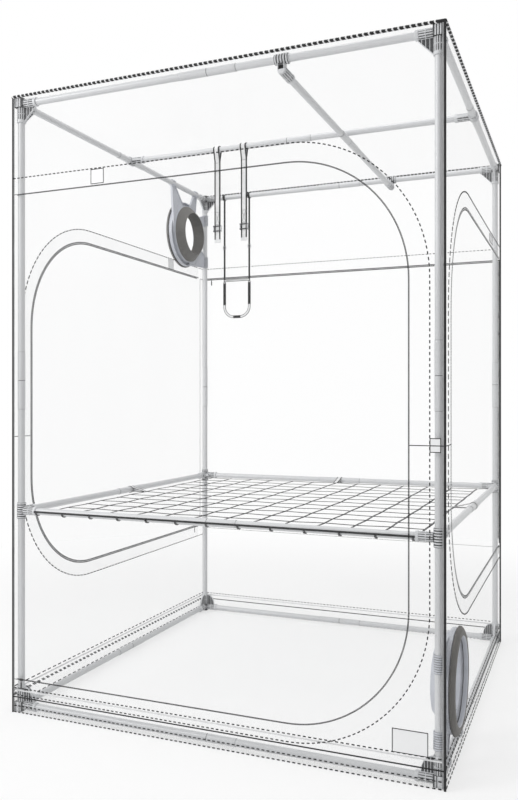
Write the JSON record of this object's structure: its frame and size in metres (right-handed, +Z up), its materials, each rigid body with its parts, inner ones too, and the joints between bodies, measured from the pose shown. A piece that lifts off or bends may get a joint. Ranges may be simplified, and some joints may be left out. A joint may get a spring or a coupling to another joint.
{
  "type": "indoor grow tent",
  "caption": "Square indoor grow tent: pole frame in clear fabric, zipped doors, sliding plant net, roof bars with straps, duct flanges",
  "frame": {"origin": "centre of the base, on the surface that the tent stands on", "axes": "X to the right along the front wall, Y from the front wall to the back wall, Z up"},
  "size_m": [1.418, 1.3986, 2],
  "materials": {
    "pole": "white powder coat",
    "connector": "moulded, ribbed",
    "film": "clear coated fabric with black piping and zips",
    "tray": "clear coated fabric",
    "net": "woven strap",
    "webbing": "woven webbing",
    "slider": "black enamel",
    "buckle": "moulded",
    "bracket": "moulded, light grey",
    "duct": "dark grey"
  },
  "bodies": {
    "tent": {"post_front_left": "pole", "post_front_right": "pole", "post_back_left": "pole", "post_back_right": "pole", "pole_bottom_front": "pole", "pole_bottom_back": "pole", "pole_bottom_left": "pole", "pole_bottom_right": "pole", "pole_top_front": "pole", "pole_top_back": "pole", "pole_top_left": "pole", "pole_top_right": "pole", "corner_bottom_front_left": "connector", "corner_bottom_front_right": "connector", "corner_bottom_back_left": "connector", "corner_bottom_back_right": "connector", "corner_top_front_left": "connector", "corner_top_front_right": "connector", "corner_top_back_left": "connector", "corner_top_back_right": "connector", "roof": "film", "front_wall": "film", "left_wall": "film", "right_wall": "film", "back_wall": "film", "floor_tray": "tray", "flange_bracket_left": "bracket", "duct_ring_left": "duct", "duct_reducer_left": "duct", "flange_bracket_right": "bracket", "duct_ring_right": "duct", "duct_reducer_right": "duct"},
    "level_bar": {"level_bar": "pole", "level_bar_tee_left": "connector", "level_bar_tee_right": "connector"},
    "hung_bar": {"hung_bar": "pole", "hung_bar_tee_front": "connector", "hung_bar_tee_back": "connector"},
    "net_frame": {"net_pole_front": "pole", "net_pole_back": "pole", "net_pole_left": "pole", "net_pole_right": "pole", "net_clip_front_left": "connector", "net_clip_front_right": "connector", "net_clip_back_left": "connector", "net_clip_back_right": "connector", "net": "net"},
    "front_door": {"front_door": "film"},
    "left_door": {"left_door": "film"},
    "right_door": {"right_door": "film"},
    "back_panel": {"back_panel": "film"},
    "front_slider": {"slider_front_door": "slider"},
    "left_slider": {"slider_left_door": "slider"},
    "right_slider": {"slider_right_door": "slider"},
    "back_slider": {"slider_back_panel": "slider"},
    "strap_left": {"strap_left": "webbing"},
    "strap_right": {"strap_right": "webbing"},
    "buckle_left": {"strap_left_buckle": "buckle"},
    "buckle_right": {"strap_right_buckle": "buckle"},
    "sling": {"sling": "webbing"}
  },
  "joints": [
    {"name": "level_bar_slide", "type": "slide", "parent": "tent", "child": "level_bar", "axis": [0, 1, 0], "range_m": [-0.4, 0.2]},
    {"name": "hung_bar_slide", "type": "slide", "parent": "tent", "child": "hung_bar", "axis": [1, 0, 0], "range_m": [-0.115, 0.33]},
    {"name": "net_slide", "type": "slide", "parent": "tent", "child": "net_frame", "axis": [0, 0, 1], "range_m": [-0.25, 0.28]},
    {"name": "front_door_swing", "type": "hinge", "parent": "tent", "child": "front_door", "pos_m": [-0.6945, -0.695, 0.895], "axis": [0, 0, -1], "range_deg": [0, 170]},
    {"name": "left_door_swing", "type": "hinge", "parent": "tent", "child": "left_door", "pos_m": [-0.695, 0.6431, 1.006], "axis": [0, 0, -1], "range_deg": [0, 170]},
    {"name": "right_door_swing", "type": "hinge", "parent": "tent", "child": "right_door", "pos_m": [0.695, 0.6431, 1.006], "axis": [0, 0, 1], "range_deg": [0, 170]},
    {"name": "back_panel_fold", "type": "hinge", "parent": "tent", "child": "back_panel", "pos_m": [0, 0.695, 0.4145], "axis": [-1, 0, 0], "range_deg": [0, 105]},
    {"name": "front_zip_slide", "type": "slide", "parent": "front_door", "child": "front_slider", "axis": [1, 0, 0], "range_m": [0, 0.909]},
    {"name": "left_zip_slide", "type": "slide", "parent": "left_door", "child": "left_slider", "axis": [0, -1, 0], "range_m": [0, 0.864]},
    {"name": "right_zip_slide", "type": "slide", "parent": "right_door", "child": "right_slider", "axis": [0, -1, 0], "range_m": [0, 0.864]},
    {"name": "back_zip_slide", "type": "slide", "parent": "back_panel", "child": "back_slider", "axis": [1, 0, 0], "range_m": [0, 1.3]},
    {"name": "strap_left_swing", "type": "hinge", "parent": "level_bar", "child": "strap_left", "pos_m": [-0.288, 0, 1.98], "axis": [1, 0, 0], "range_deg": [-45, 45]},
    {"name": "strap_right_swing", "type": "hinge", "parent": "level_bar", "child": "strap_right", "pos_m": [-0.1765, 0, 1.98], "axis": [1, 0, 0], "range_deg": [-45, 45]},
    {"name": "buckle_left_slide", "type": "slide", "parent": "strap_left", "child": "buckle_left", "axis": [0, 0, 1], "range_m": [-0.035, 0.2]},
    {"name": "buckle_right_slide", "type": "slide", "parent": "strap_right", "child": "buckle_right", "axis": [0, 0, 1], "range_m": [-0.035, 0.2]},
    {"name": "sling_swing", "type": "hinge", "parent": "tent", "child": "sling", "pos_m": [-0.507, 0.675, 1.98], "axis": [-1, 0, 0], "range_deg": [0, 60]}
  ]
}
